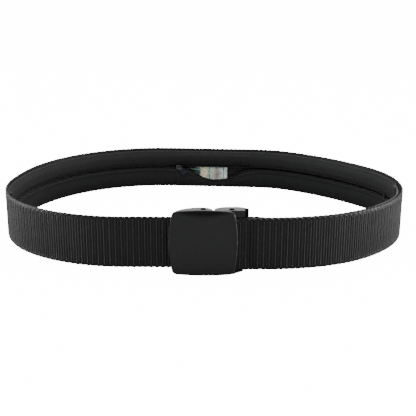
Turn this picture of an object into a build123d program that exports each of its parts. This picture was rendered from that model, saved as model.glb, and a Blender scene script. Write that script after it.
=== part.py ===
from build123d import *
from math import acos, cos, degrees, radians, sin
import os

# Money belt, in millimetres. It stands on its lower edge: X runs to the right along the buckle's
# face, Y runs away from that face towards the back of the loop, Z is up. While the model is being
# made, X = 0 is the middle of the buckle, Y = 0 is its front face and Z = 0 is its lowest point.

# ---- webbing: one ribbed strap, sewn round a pin at one end and free at the other ----
WEB_WIDTH = 40.0
WEB_THICK = 2.2
WEB_LOW = 3.4                      # height of the strap's lower edge
WEB_HIGH = WEB_LOW + WEB_WIDTH
HALF_WEB = WEB_THICK / 2

# ---- layers in the buckle: depths behind the front face, at the middle of each layer ----
FIXED_DEPTH = 3.6                  # the strap that leaves the rear pin to the right
FOLD_SEWN_DEPTH = 5.9              # its folded end, where it is sewn flat
CLAMP_DEPTH = 9.5                  # the free strap, under the cover's teeth
TAIL_DEPTH = 10.4                  # the free strap, behind the folded end
TAIL_SEWN_DEPTH = 8.2              # the same, where the fold lies flat
TAIL_GAP = 0.15                    # between the tail and the strap it lies along

# ---- plan of the loop: radius and turn of each arc, from the buckle's right-hand side ----
STRAIGHT_TO = 47.4                 # the strap runs straight from the rear pin to this X
LOOP_ARCS = [(127, 54), (95, 71), (217, 24), (76, 27), (84, 0), (123, 78), (230, 9), (95, 61)]
LAST_TURN = 36.0                   # back to the buckle; its radius follows from the layers
BACK_RUN = 4                       # the straight run among those arcs, at the back

# ---- buckle ----
PLATE_WIDTH = 51.0
PLATE_HEIGHT = 51.0
PLATE_THICK = 2.2
SIDE_BOW = 2.6                     # how far the plate's sides stand out between its corners
END_BOW = 1.2                      # the same for its upper and lower edges
PLATE_CORNER = 4.5
PLATE_EDGE = 0.9                   # rounding of the front edge
CLEAR = 1.0                        # how far cutting shapes reach past what they cut
WALL_INSET = 0.6                   # ears and walls stand this far inside the plate's height
EAR_THICK = 1.2
EAR_LEFT = -20.0
EAR_CREST = -2.0                   # where the ears are deepest
EAR_RIGHT = 6.8
EAR_FRONT = 1.4
EAR_DEPTH = 10.7
EAR_END_DEPTH = 5.4
SIDE_GAP = 0.15                    # between the lower ear and the frame's tongue, and beside the cam
UPPER_SIDE_GAP = 1.5               # the same under the upper ear, which stands clear of its tongue
PIVOT_DEPTH = 6.2
PIVOT_R = 1.2
PIVOT_CLEAR = 0.06
CAM_R = 2.1                        # the cam's round back, about the pivot
CAM_RIGHT = 7.0
TEETH = 4
TOOTH_LEFT = 0.8
TOOTH_HEIGHT = 0.7
TOOTH_LEAN = 0.3                   # share of a tooth's length that its steep side takes
TOOTH_GAP = 0.1                    # from the teeth to the strap
TONGUE_LEFT = -9.0                 # the tongues' left end, behind the strap
TONGUE_FACE_LEFT = -4.0            # the same in front of the strap, beside the cam
TONGUE_FRONT = 3.4
TONGUE_CLEAR = 0.25                # from the tongues' front part to the strap
TONGUE_REACH = 4.4                 # from the ears' inner faces to the tongues' inner faces
WALL_THICK = 2.7
UPPER_WALL_THICK = 5.0             # the upper wall is the deeper one: the strap sits low
WALL_LEFT = 8.3
WALL_RIGHT = 33.5
WALL_FRONT = 2.6
WALL_CREST = 21.5                  # where the walls are deepest
WALL_LEFT_DEPTH = 7.8
WALL_RIGHT_DEPTH = 7.4
WALL_CORNER = 2.0
WALL_SLOPE = [(22.4, 0.6), (28.4, 2.6), (30.2, 3.4)]   # the lower wall's end rises to the strap's edge
FRAME_DEPTH = 12.3
FLOOR_THICK = 1.6
FLOOR_RIGHT = 9.0
REAR_PIN_X = 20.9
REAR_PIN_R = 1.0
PIN_RECESS = 0.3
WRAP_GAP = 0.05                    # between the pin and the strap round it

# ---- pocket: lining and zipper on the inner face of the strap's back ----
POCKET_FROM = 92.0                 # headings of the strap where the pocket starts and ends
POCKET_TO = 285.0
ZIP_INSET = 20.0                   # from the pocket's ends to the ends of the coils
BINDING = 6.0                      # length of the bands that close the pocket's ends
CUT_PAST = 0.1                     # how far cuts in thin layers reach past them
ZIP_HEIGHT = WEB_LOW + 20.8
LINING = (3.4, 4.0)                # offsets from the middle of the webbing, near and far
TAPE = (2.9, 3.3)
COIL = (3.3, 4.6)
SEAM = 2.0                         # height of the hems that are sewn to the webbing
OVER_SEAM = 2.3                    # the sagging tape stays this far above the lower hem's edge
LINING_INSET = 2.4                 # from the webbing's edges to the lining's
ZIP_BAND = 3.3                     # from the zipper's middle to each lining edge
TAPE_WIDTH = 8.0
TAPE_GAP = 0.7                     # from the zipper's middle to each tape's edge
TAPE_PAST = 8.0                    # the tapes go this far past the ends of the coils
COIL_WIDTH = 1.25
COIL_GAP = 0.05                    # half the gap between closed coils
OPEN_STEP = 0.70                   # how far each open coil stands away from the closed line
CLOSED_BEFORE = 0.4                # the closed coils end this far before the slider's post
OPEN_BEFORE = 0.7                  # the upper open coil starts this far before it
STOP = 1.6                         # length of the zipper's stops
STOP_GAP = 0.1                     # from the stops to the coils
STOP_LIP = 0.3                     # how far the stops stand out past the coils
THREAD = 0.25

# ---- slider and pull: positions along the back run, from the middle of the buckle ----
SLIDER_X = -26.1
SLIDER_LENGTH = 5.8
SLIDER_WIDTH = 5.1
SLIDER_BACK = (1.9, 2.7)
SLIDER_FRONT = (4.8, 5.6)
SLIDER_CORNER = 1.4
FLANGE = 0.45
FLANGE_FROM = 3.5
POST_LENGTH = 1.7
POST_WIDTH = 1.0
BRIDGE_LENGTH = 3.9
BRIDGE_WIDTH = 1.2
BRIDGE_HEIGHT = 1.6
BRIDGE_WALL = 0.5
PULL_R = 0.3                       # half the pull's thickness
PULL_LENGTH = 9.5
PULL_WIDTH = 5.4
PULL_WALL = 0.7
PULL_ARM = 4.0                     # length of the pull's two arms, from its bar to its tab
PULL_PLAY = 0.08                   # from the pull's bar to the slider's front plate
TAB_OVERLAP = 0.6                  # the tab starts this far inside the ends of the arms
TAB_CORNER = 1.2
PULL_DROOP = 44.0                  # how far the pull hangs down from the zipper's line, in degrees

# ---- mouth: the open lip of the lower lining, as points (along the back run, height) ----
LIP_TOP = ZIP_HEIGHT - OPEN_STEP
LIP = [
    (-20.5, LIP_TOP), (-10.0, 18.4), (0.0, 13.6), (10.0, 11.7), (24.0, 13.8), (36.0, 19.9), (50.0, LIP_TOP),
]
LIP_EDGE = ZIP_BAND - OPEN_STEP    # the lining's edge stands this far below the coil's top

# ---- folded banknotes: (left, right, low, high) along the back run ----
NOTES = [(-17.0, 15.0, 9.4, 26.4), (-11.5, 20.0, 9.0, 26.2), (-5.0, 23.0, 8.6, 26.0)]
NOTE_NEAR = 1.2                    # offset of the first note
NOTE_THICK = 0.18
NOTE_GAP = 0.02

parts = {}


def outline_face(edges):
    """The flat face inside a closed chain of lines and arcs."""
    return Face(Wire.combine(edges, tol=1e-4)[0])


class Route:
    """A chain of straight runs and tangent arcs in plan. A piece is (radius, turn in degrees),
    left turns positive, or (length, 0). Offsets are to the left, the inside of the loop."""

    def __init__(self, x, y, heading, pieces):
        self.spans = []
        at = 0.0
        for size, turn in pieces:
            length = size if turn == 0 else size * radians(abs(turn))
            self.spans.append((at, length, x, y, heading, size, turn))
            x, y = self.place(self.spans[-1], length, 0.0)
            heading += turn
            at += length
        self.length = at

    @staticmethod
    def place(span, along, offset):
        _, length, x, y, heading, size, turn = span
        h = radians(heading)
        if turn == 0:
            return x + along * cos(h) - offset * sin(h), y + along * sin(h) + offset * cos(h)
        side = 1 if turn > 0 else -1
        h_now = h + side * along / size
        cx, cy = x - side * size * sin(h), y + side * size * cos(h)
        reach = side * size - offset
        return cx + reach * sin(h_now), cy - reach * cos(h_now)

    def span_at(self, s):
        return next((p for p in self.spans if s <= p[0] + p[1] + 1e-9), self.spans[-1])

    def point(self, s, offset=0.0):
        span = self.span_at(s)
        return self.place(span, s - span[0], offset)

    def heading_at(self, s):
        start, length, _, _, heading, _, turn = self.span_at(s)
        return heading + turn * (s - start) / length

    def at_heading(self, heading):
        """The distance along the route where a left turn reaches this heading."""
        for start, length, _, _, h, _, turn in self.spans:
            if turn > 0 and h <= heading <= h + turn:
                return start + length * (heading - h) / turn
        raise ValueError(heading)

    def edges(self, start, end, offset):
        found = []
        for span in self.spans:
            a = max(start - span[0], 0.0)
            b = min(end - span[0], span[1])
            if b - a < 1e-6:
                continue
            first, middle, last = (self.place(span, t, offset) for t in (a, (a + b) / 2, b))
            found.append(Line(first, last) if span[6] == 0 else ThreePointArc(first, middle, last))
        return found

    def band(self, start, end, near, far, low, high):
        """The solid between two offsets, two distances along the route and two heights."""
        sides = self.edges(start, end, near) + self.edges(start, end, far)
        caps = [Line(self.point(s, near), self.point(s, far)) for s in (start, end)]
        face = outline_face([*sides, *caps])
        return Pos(0, 0, low) * extrude(face, high - low, dir=(0, 0, 1))


def s_bend(shift, radius):
    """Two arcs that carry a straight strap sideways by shift: positive to the left."""
    turn = degrees(acos(1 - abs(shift) / (2 * radius)))
    side = 1 if shift > 0 else -1
    return [(radius, side * turn), (radius, -side * turn)]


def s_bend_length(shift, radius):
    return 2 * radius * sin(acos(1 - abs(shift) / (2 * radius)))


def box_between(low, high):
    size = [b - a for a, b in zip(low, high)]
    return Pos(*low) * Box(*size, align=(Align.MIN, Align.MIN, Align.MIN))


def upright(x, depth, radius, low, high):
    """A round bar that stands along Z."""
    return Pos(x, depth, low) * Cylinder(radius, high - low, align=(Align.CENTER, Align.CENTER, Align.MIN))


# ---------------------------------------------------------------- the strap's route
WRAP_R = REAR_PIN_R + WRAP_GAP + HALF_WEB
PIN_DEPTH = FIXED_DEPTH + WRAP_R
FOLD_BEND_R = 12.0
TAIL_BEND_R = 9.0
FOLD_END = 38.5                    # X of the folded end's cut edge
FOLD_FLAT_TO = 32.0                # X where the fold starts to part from the strap
FRAME_BEND_AT = 10.0               # X where the free strap starts to drop behind the fold
TAIL_BEND_AT = 24.0                # X where it starts to come forward again
TAIL_JOIN_AT = 38.6                # X where it closes up to the strap, past the fold's end
TAIL_LEAVES = 62.0                 # heading where the tail parts from the strap it lies along
TAIL_HOOK = (58.0, 33.0)           # radius and turn of its free end

fold_shift = PIN_DEPTH + WRAP_R - FOLD_SEWN_DEPTH
fold_run = s_bend_length(fold_shift, FOLD_BEND_R)
fold_pieces = [
    (FOLD_END - FOLD_FLAT_TO, 0),
    *s_bend(-fold_shift, FOLD_BEND_R),
    (FOLD_FLAT_TO - fold_run - REAR_PIN_X, 0),
    (WRAP_R, 180),
]
fixed_straight = STRAIGHT_TO - REAR_PIN_X

# the last arc's radius brings the strap back to the clamp's depth
y_now = FIXED_DEPTH
turned = 0.0
for size, turn in LOOP_ARCS:
    if turn == 0:
        y_now += size * sin(radians(turned))
    else:
        y_now += size * (cos(radians(turned)) - cos(radians(turned + turn)))
    turned += turn
last_radius = (y_now - CLAMP_DEPTH) / (1 - cos(radians(LAST_TURN)))
loop_pieces = [*LOOP_ARCS, (last_radius, LAST_TURN)]

loop_only = Route(STRAIGHT_TO, FIXED_DEPTH, 0, loop_pieces)
loop_end_x, _ = loop_only.point(loop_only.length)
drop = TAIL_DEPTH - CLAMP_DEPTH
rise = TAIL_DEPTH - TAIL_SEWN_DEPTH
tail_rest = FIXED_DEPTH + WEB_THICK + TAIL_GAP
join = TAIL_SEWN_DEPTH - tail_rest
drop_run = s_bend_length(drop, FOLD_BEND_R)
rise_run = s_bend_length(rise, FOLD_BEND_R)
join_run = s_bend_length(join, TAIL_BEND_R)
tail_offset = WEB_THICK + TAIL_GAP
tail_pieces = [
    (FRAME_BEND_AT - loop_end_x, 0),
    *s_bend(drop, FOLD_BEND_R),
    (TAIL_BEND_AT - FRAME_BEND_AT - drop_run, 0),
    *s_bend(-rise, FOLD_BEND_R),
    (TAIL_JOIN_AT - TAIL_BEND_AT - rise_run, 0),
    *s_bend(-join, TAIL_BEND_R),
    (STRAIGHT_TO - TAIL_JOIN_AT - join_run, 0),
    (LOOP_ARCS[0][0] - tail_offset, LOOP_ARCS[0][1]),
    (LOOP_ARCS[1][0] - tail_offset, TAIL_LEAVES - LOOP_ARCS[0][1]),
    TAIL_HOOK,
]
strap = Route(
    FOLD_END,
    FOLD_SEWN_DEPTH,
    180,
    [*fold_pieces, (fixed_straight, 0), *loop_pieces, *tail_pieces],
)
LOOP_START = strap.at_heading(360.0) + fixed_straight
parts["webbing"] = strap.band(0, strap.length, -HALF_WEB, HALF_WEB, WEB_LOW, WEB_HIGH)

# sealed end of the tail: a band folded over the cut edge
TIP_LENGTH = 9.0
TIP_SKIN = 0.7
TIP_INSET = 0.5
tip_low, tip_high = WEB_LOW + TIP_INSET, WEB_HIGH - TIP_INSET
tip_start = strap.length - TIP_LENGTH
beyond = Route(*strap.point(strap.length), strap.heading_at(strap.length), [(TIP_SKIN, 0)])
tip_half = HALF_WEB + TIP_SKIN
parts["strap_tip"] = (
    strap.band(tip_start, strap.length, HALF_WEB, tip_half, tip_low, tip_high)
    + strap.band(tip_start, strap.length, -tip_half, -HALF_WEB, tip_low, tip_high)
    + beyond.band(0, TIP_SKIN, -tip_half, tip_half, tip_low, tip_high)
)

# ---------------------------------------------------------------- thread that closes the fold
STITCH_X = (35.0, 37.4)
STITCH_ROW = 0.8
STITCH_INSET = 2.5                 # from the webbing's edges
stitch_rows = [
    box_between(
        (x, FIXED_DEPTH - HALF_WEB - THREAD, WEB_LOW + STITCH_INSET),
        (x + STITCH_ROW, FIXED_DEPTH - HALF_WEB, WEB_HIGH - STITCH_INSET),
    )
    for x in STITCH_X
]
stitch_bars = [
    box_between(
        (STITCH_X[0] + STITCH_ROW, FIXED_DEPTH - HALF_WEB - THREAD, z),
        (STITCH_X[1], FIXED_DEPTH - HALF_WEB, z + STITCH_ROW),
    )
    for z in (WEB_LOW + STITCH_INSET, WEB_HIGH - STITCH_INSET - STITCH_ROW)
]
parts["fold_stitching"] = stitch_rows[0] + stitch_rows[1] + stitch_bars[0] + stitch_bars[1]

# ---------------------------------------------------------------- buckle cover
half_w = PLATE_WIDTH / 2
half_h = PLATE_HEIGHT / 2
corner_w = half_w - SIDE_BOW
corner_h = half_h - END_BOW
FACE = Plane(origin=(0, 0, half_h), x_dir=(1, 0, 0), z_dir=(0, 1, 0))   # sketch X right, Y down


def plate_outline():
    corners = [(-corner_w, -corner_h), (corner_w, -corner_h), (corner_w, corner_h), (-corner_w, corner_h)]
    bulges = [(0, -half_h), (half_w, 0), (0, half_h), (-half_w, 0)]
    sides = [
        ThreePointArc(corners[i], bulges[i], corners[(i + 1) % 4])
        for i in range(4)
    ]
    face = make_face(sides)
    return fillet(face.vertices(), PLATE_CORNER)


plate = extrude(FACE * plate_outline(), PLATE_THICK, dir=(0, 1, 0))
plate = fillet(plate.faces().sort_by(Axis.Y)[0].edges(), PLATE_EDGE)

lower_ear_z = (WALL_INSET, WALL_INSET + EAR_THICK)
upper_ear_z = (PLATE_HEIGHT - WALL_INSET - EAR_THICK, PLATE_HEIGHT - WALL_INSET)


def bulge(a, b, rise):
    """An arc from a to b that stands out to the left of the straight line between them, by a
    share of that line's length."""
    dx, dy = b[0] - a[0], b[1] - a[1]
    middle = ((a[0] + b[0]) / 2 - rise * dy, (a[1] + b[1]) / 2 + rise * dx)
    return ThreePointArc(a, middle, b)


LEFT_RISE = 0.12                   # how round the flanges' long backs are, as a share of their length
RIGHT_RISE = 0.16


def flange(low, high, left, crest, right, front):
    """A flat flange, deepest at its crest; left, crest and right are (x, depth)."""
    outline = [
        bulge(left, crest, LEFT_RISE),
        bulge(crest, right, RIGHT_RISE),
        Line(right, (right[0], front)),
        Line((right[0], front), (left[0], front)),
    ]
    if left[1] > front:
        outline.append(Line((left[0], front), left))
    return Pos(0, 0, low) * extrude(outline_face(outline), high - low, dir=(0, 0, 1))


def ear(low, high):
    left, crest, right = (EAR_LEFT, EAR_FRONT), (EAR_CREST, EAR_DEPTH), (EAR_RIGHT, EAR_END_DEPTH)
    return flange(low, high, left, crest, right, EAR_FRONT)


# cam: a bar under the plate whose back is round about the pivot, with a row of teeth beside it
cam_low = lower_ear_z[1] + TONGUE_REACH + SIDE_GAP
cam_high = PLATE_HEIGHT - cam_low
strap_front = CLAMP_DEPTH - HALF_WEB
tooth_tip = strap_front - TOOTH_GAP
tooth_root = tooth_tip - TOOTH_HEIGHT
tooth_pitch = (CAM_RIGHT - TOOTH_LEFT) / TEETH


def cam_outline():
    points = [(-CAM_R, PLATE_THICK), (CAM_RIGHT, PLATE_THICK), (CAM_RIGHT, tooth_root)]
    for i in range(TEETH):
        right = CAM_RIGHT - i * tooth_pitch
        points += [(right - TOOTH_LEAN * tooth_pitch, tooth_tip), (right - tooth_pitch, tooth_root)]
    points.append((0, tooth_root))
    bar = make_face(Polyline(*points, (-CAM_R, PIVOT_DEPTH), close=True))
    return bar + Pos(0, PIVOT_DEPTH) * Circle(CAM_R)


cam = Pos(0, 0, cam_low) * extrude(cam_outline(), cam_high - cam_low, dir=(0, 0, 1))
cover = plate + ear(*lower_ear_z) + ear(*upper_ear_z) + cam
cover -= upright(0, PIVOT_DEPTH, PIVOT_R, -CLEAR, PLATE_HEIGHT + CLEAR)
parts["buckle_cover"] = cover

# ---------------------------------------------------------------- buckle frame
wall_low = (WALL_INSET, WALL_INSET + WALL_THICK)
wall_high = (PLATE_HEIGHT - WALL_INSET - UPPER_WALL_THICK, PLATE_HEIGHT - WALL_INSET)
tongue_low = lower_ear_z[1] + SIDE_GAP
tongue_high = upper_ear_z[0] - UPPER_SIDE_GAP
tongue_inner = (lower_ear_z[1] + TONGUE_REACH, upper_ear_z[0] - TONGUE_REACH)
tongue_back = strap_front - TONGUE_CLEAR


def wall(low, high):
    left, right = (WALL_LEFT, WALL_LEFT_DEPTH), (WALL_RIGHT, WALL_RIGHT_DEPTH)
    crest = (WALL_CREST, FRAME_DEPTH)
    body = flange(low, high, left, crest, right, WALL_FRONT)
    front_end = body.edges().filter_by(Axis.Z).sort_by(Axis.X)[-2:].sort_by(Axis.Y)[0]
    return fillet(front_end, WALL_CORNER)


def tongue(outer, inner, thin_inner):
    """The wall's narrower part inside an ear: deep beside the cam, thin beside the strap."""
    deep = box_between(
        (TONGUE_FACE_LEFT, TONGUE_FRONT, min(outer, inner)),
        (WALL_LEFT, tongue_back, max(outer, inner)),
    )
    thin = box_between(
        (TONGUE_LEFT, tongue_back, min(outer, thin_inner)),
        (WALL_LEFT, FRAME_DEPTH, max(outer, thin_inner)),
    )
    return deep + thin


floor = box_between(
    (TONGUE_LEFT, FRAME_DEPTH - FLOOR_THICK, tongue_low), (FLOOR_RIGHT, FRAME_DEPTH, tongue_high)
)
under_slope = Polyline(
    (WALL_RIGHT, -CLEAR),
    (WALL_SLOPE[0][0], -CLEAR),
    *WALL_SLOPE,
    (WALL_RIGHT, WALL_SLOPE[-1][1]),
    close=True,
)
slope_cut = extrude(make_face(Plane.XZ * under_slope), FRAME_DEPTH + CLEAR, both=True)
frame = floor + (wall(*wall_low) - slope_cut) + wall(*wall_high)
frame += tongue(tongue_low, tongue_inner[0], wall_low[1])
frame += tongue(tongue_high, tongue_inner[1], tongue_inner[1])
frame -= upright(0, PIVOT_DEPTH, PIVOT_R + PIVOT_CLEAR, -CLEAR, PLATE_HEIGHT + CLEAR)
frame -= upright(REAR_PIN_X, PIN_DEPTH, REAR_PIN_R, -CLEAR, PLATE_HEIGHT + CLEAR)
parts["buckle_frame"] = frame

pin_low = WALL_INSET + PIN_RECESS
pin_high = PLATE_HEIGHT - pin_low
parts["pivot_pin"] = upright(0, PIVOT_DEPTH, PIVOT_R, pin_low, pin_high)
parts["rear_pin"] = upright(REAR_PIN_X, PIN_DEPTH, REAR_PIN_R, pin_low, pin_high)

# ---------------------------------------------------------------- pocket
pocket_start = strap.at_heading(360 + POCKET_FROM)
pocket_end = strap.at_heading(360 + POCKET_TO)
zip_start = pocket_start + ZIP_INSET
zip_end = pocket_end - ZIP_INSET
lining_low = WEB_LOW + LINING_INSET
lining_high = WEB_HIGH - LINING_INSET
lower_edge = ZIP_HEIGHT - ZIP_BAND
upper_edge = ZIP_HEIGHT + ZIP_BAND

back_start = LOOP_START + sum(s[1] for s in loop_only.spans[:BACK_RUN])
back_heading = strap.heading_at(back_start + 1)
back_x, back_y = strap.point(back_start)
to_middle = back_x / cos(radians(back_heading))
mid_x, mid_y = strap.point(back_start - to_middle)
# sketch X runs along the zipper to the right, sketch Y is up, and the normal points into the loop
BACK = Plane(
    origin=(mid_x, mid_y, 0),
    x_dir=(-cos(radians(back_heading)), -sin(radians(back_heading)), 0),
    z_dir=(-sin(radians(back_heading)), cos(radians(back_heading)), 0),
)
MIDDLE_S = back_start - to_middle


def along(x):
    """Distance along the strap of a place on the back run."""
    return MIDDLE_S - x


def slab(face, near, far):
    """A flat shape drawn on the back run, between two offsets from the webbing's middle."""
    return extrude(BACK.offset(near) * face, far - near, dir=BACK.z_dir)


def slab_box(left, right, low, high, near, far):
    middle = Pos((left + right) / 2, (low + high) / 2)
    return slab(middle * Rectangle(right - left, high - low), near, far)


def lip_curve(drop):
    return Spline(*[(x, z - drop) for x, z in LIP])


def above_lip(drop, top):
    """Everything above the sagging lip, up to a height."""
    left, right = LIP[0][0], LIP[-1][0]
    curve = lip_curve(drop)
    return make_face(
        [curve, Line(curve @ 1, (right, top)), Line((right, top), (left, top)), Line((left, top), curve @ 0)]
    )


def strip_below_lip(top_drop, bottom_drop):
    """The strip between two distances below the sagging lip."""
    top, bottom = lip_curve(top_drop), lip_curve(bottom_drop)
    return make_face([top, bottom, Line(top @ 0, bottom @ 0), Line(top @ 1, bottom @ 1)])


def pocket_band(near, far, low, high, start=pocket_start, end=pocket_end):
    return strap.band(start, end, near, far, low, high)


lining_upper = pocket_band(*LINING, upper_edge, lining_high)
lining_upper += pocket_band(HALF_WEB, LINING[1], lining_high - SEAM, lining_high)
parts["lining_upper"] = lining_upper

lining_lower = pocket_band(*LINING, lining_low, lower_edge)
lining_lower += pocket_band(HALF_WEB, LINING[1], lining_low, lining_low + SEAM)
lining_lower -= slab(above_lip(LIP_EDGE, upper_edge), LINING[0] - CUT_PAST, LINING[1] + CUT_PAST)
parts["lining_lower"] = lining_lower

tape_start = zip_start - TAPE_PAST
tape_end = zip_end + TAPE_PAST
tape_upper = pocket_band(*TAPE, ZIP_HEIGHT + TAPE_GAP, ZIP_HEIGHT + TAPE_WIDTH, tape_start, tape_end)
tape_lower = pocket_band(*TAPE, ZIP_HEIGHT - TAPE_WIDTH, ZIP_HEIGHT - TAPE_GAP, tape_start, tape_end)
sag_left, sag_right = LIP[0][0], LIP[-1][0]
tape_lower -= slab_box(
    sag_left, sag_right, lining_low, ZIP_HEIGHT, TAPE[0] - CUT_PAST, TAPE[1] + CUT_PAST
)
tape_lower += slab(
    strip_below_lip(COIL_WIDTH / 2, TAPE_WIDTH - OPEN_STEP)
    - Pos((sag_left + sag_right) / 2, lining_low) * Rectangle(sag_right - sag_left, 2 * OVER_SEAM),
    *TAPE,
)
parts["zipper_tape_upper"] = tape_upper
parts["zipper_tape_lower"] = tape_lower

# coils: closed to the left of the slider, open to its right
slider_right = SLIDER_X + SLIDER_LENGTH / 2
post_left = slider_right - POST_LENGTH
closed_from = along(post_left - CLOSED_BEFORE)
open_to = along(post_left - OPEN_BEFORE)
upper_closed = (ZIP_HEIGHT + COIL_GAP, ZIP_HEIGHT + COIL_GAP + COIL_WIDTH)
upper_open = (ZIP_HEIGHT + OPEN_STEP, ZIP_HEIGHT + OPEN_STEP + COIL_WIDTH)
lower_closed = (ZIP_HEIGHT - COIL_GAP - COIL_WIDTH, ZIP_HEIGHT - COIL_GAP)
parts["zipper_coil_upper"] = (
    strap.band(closed_from, zip_end, *COIL, *upper_closed)
    + strap.band(zip_start, open_to, *COIL, *upper_open)
)
parts["zipper_coil_lower"] = strap.band(closed_from, zip_end, *COIL, *lower_closed)

lip_left, lip_right = LIP[0][0], LIP[-1][0]
lip_coil = slab(strip_below_lip(0, COIL_WIDTH), *COIL)
lip_coil += slab_box(post_left, lip_left, LIP[0][1] - COIL_WIDTH, LIP[0][1], *COIL)
lip_coil += strap.band(zip_start, along(lip_right), *COIL, LIP[-1][1] - COIL_WIDTH, LIP[-1][1])
parts["zipper_coil_lip"] = lip_coil

stop_depth = (TAPE[1], COIL[1] + STOP_LIP)
bottom_start = zip_end + STOP_GAP
parts["zipper_bottom_stop"] = strap.band(
    bottom_start, bottom_start + STOP, *stop_depth, lower_closed[0] - STOP_LIP, upper_closed[1] + STOP_LIP
)
top_range = (zip_start - STOP, zip_start - STOP_GAP)
parts["zipper_top_stops"] = (
    strap.band(*top_range, *stop_depth, *upper_open)
    + strap.band(*top_range, *stop_depth, LIP_TOP - COIL_WIDTH, LIP_TOP)
)

for name, start, end in (
    ("pocket_end_right", pocket_start - BINDING, pocket_start),
    ("pocket_end_left", pocket_end, pocket_end + BINDING),
):
    parts[name] = strap.band(start, end, HALF_WEB, LINING[1], lining_low, lining_high)

SEAM_LINE = 1.0
for name, height in (
    ("seam_stitching_upper", lining_high - SEAM_LINE),
    ("seam_stitching_lower", lining_low + SEAM_LINE),
    ("zipper_stitching_upper", upper_edge + SEAM_LINE),
):
    parts[name] = pocket_band(
        LINING[1], LINING[1] + THREAD, height - THREAD, height + THREAD
    )
lip_seam = pocket_band(
    LINING[1], LINING[1] + THREAD, lower_edge - SEAM_LINE - THREAD, lower_edge - SEAM_LINE + THREAD,
    along(LIP[0][0]), pocket_end,
)
lip_seam += pocket_band(
    LINING[1], LINING[1] + THREAD, lower_edge - SEAM_LINE - THREAD, lower_edge - SEAM_LINE + THREAD,
    pocket_start, along(LIP[-1][0]),
)
parts["zipper_stitching_lower"] = lip_seam

# ---------------------------------------------------------------- zipper slider and pull
slider_left = SLIDER_X - SLIDER_LENGTH / 2
slider_low = ZIP_HEIGHT - SLIDER_WIDTH / 2
slider_high = ZIP_HEIGHT + SLIDER_WIDTH / 2


def slider_plate(near, far):
    plate_face = Pos(SLIDER_X, ZIP_HEIGHT) * RectangleRounded(SLIDER_LENGTH, SLIDER_WIDTH, SLIDER_CORNER)
    return slab(plate_face, near, far)


slider = slider_plate(*SLIDER_BACK) + slider_plate(*SLIDER_FRONT)
for low, high in ((slider_low, slider_low + FLANGE), (slider_high - FLANGE, slider_high)):
    slider += slab_box(
        slider_left + SLIDER_CORNER, slider_right - SLIDER_CORNER, low, high, FLANGE_FROM, SLIDER_FRONT[0]
    )
slider += slab_box(
    post_left, slider_right, ZIP_HEIGHT - POST_WIDTH / 2, ZIP_HEIGHT + POST_WIDTH / 2,
    SLIDER_BACK[1], SLIDER_FRONT[0],
)
bridge_near = SLIDER_FRONT[1]
bridge_far = bridge_near + BRIDGE_HEIGHT
bridge_left = SLIDER_X - BRIDGE_LENGTH / 2
bridge_right = SLIDER_X + BRIDGE_LENGTH / 2
bridge_low = ZIP_HEIGHT - BRIDGE_WIDTH / 2
bridge_high = ZIP_HEIGHT + BRIDGE_WIDTH / 2
slider += slab_box(bridge_left, bridge_right, bridge_low, bridge_high, bridge_near, bridge_far)
slider -= slab_box(
    bridge_left + BRIDGE_WALL, bridge_right - BRIDGE_WALL, bridge_low - CLEAR, bridge_high + CLEAR,
    bridge_near, bridge_far - BRIDGE_WALL,
)
parts["zipper_slider"] = slider

# the pull is a flat loop that hangs at a slant; its bar turns in the bridge's eye
pull_offset = bridge_near + PULL_PLAY + PULL_R
HANG = BACK.offset(pull_offset) * Plane(
    origin=(SLIDER_X, ZIP_HEIGHT),
    x_dir=(cos(radians(PULL_DROOP)), -sin(radians(PULL_DROOP)), 0),
    z_dir=(0, 0, 1),
)


def pull_box(left, right, low, high):
    middle = Pos((left + right) / 2, (low + high) / 2, -PULL_R)
    return HANG * middle * Box(
        right - left, high - low, 2 * PULL_R, align=(Align.CENTER, Align.CENTER, Align.MIN)
    )


pull = HANG * Rot(90, 0, 0) * Cylinder(PULL_R, PULL_WIDTH)
for side in (-1, 1):
    arm = sorted((side * PULL_WIDTH / 2, side * (PULL_WIDTH / 2 - PULL_WALL)))
    pull += pull_box(0, PULL_ARM, *arm)
tab_left = PULL_ARM - TAB_OVERLAP
tab_middle = (tab_left + PULL_LENGTH) / 2
tab = RectangleRounded(PULL_LENGTH - tab_left, PULL_WIDTH, TAB_CORNER)
pull += HANG * Pos(tab_middle, 0, -PULL_R) * extrude(tab, 2 * PULL_R)
parts["zipper_pull"] = pull

# ---------------------------------------------------------------- folded banknotes
offset = NOTE_NEAR
for number, (left, right, low, high) in enumerate(NOTES, start=1):
    far_side = offset + NOTE_THICK
    parts[f"banknote_{number}"] = slab_box(left, right, low, high, offset, far_side)
    offset = far_side + NOTE_GAP

# ---------------------------------------------------------------- origin and export
box = Compound(list(parts.values())).bounding_box()
middle = box.center()
to_origin = Pos(-middle.X, -middle.Y, -box.min.Z)

os.makedirs("parts", exist_ok=True)
for name, shape in parts.items():
    export_step(to_origin * shape, f"parts/{name}.step")

print(f"strap {strap.length:.0f} long, loop {loop_only.length:.0f} plus the buckle")
print(f"pocket {pocket_end - pocket_start:.0f} long")
print("pivot at", (to_origin * Pos(0, PIVOT_DEPTH, half_h)).position)
print("slider moves along", BACK.x_dir)
print("pull turns about", Plane(HANG).y_dir, "at", (to_origin * HANG).position)
print("size", box.size)
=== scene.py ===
from math import acos, cos, degrees, floor, pi, radians, sin

import bmesh
import bpy
from mathutils import Matrix, Vector, noise


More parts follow.
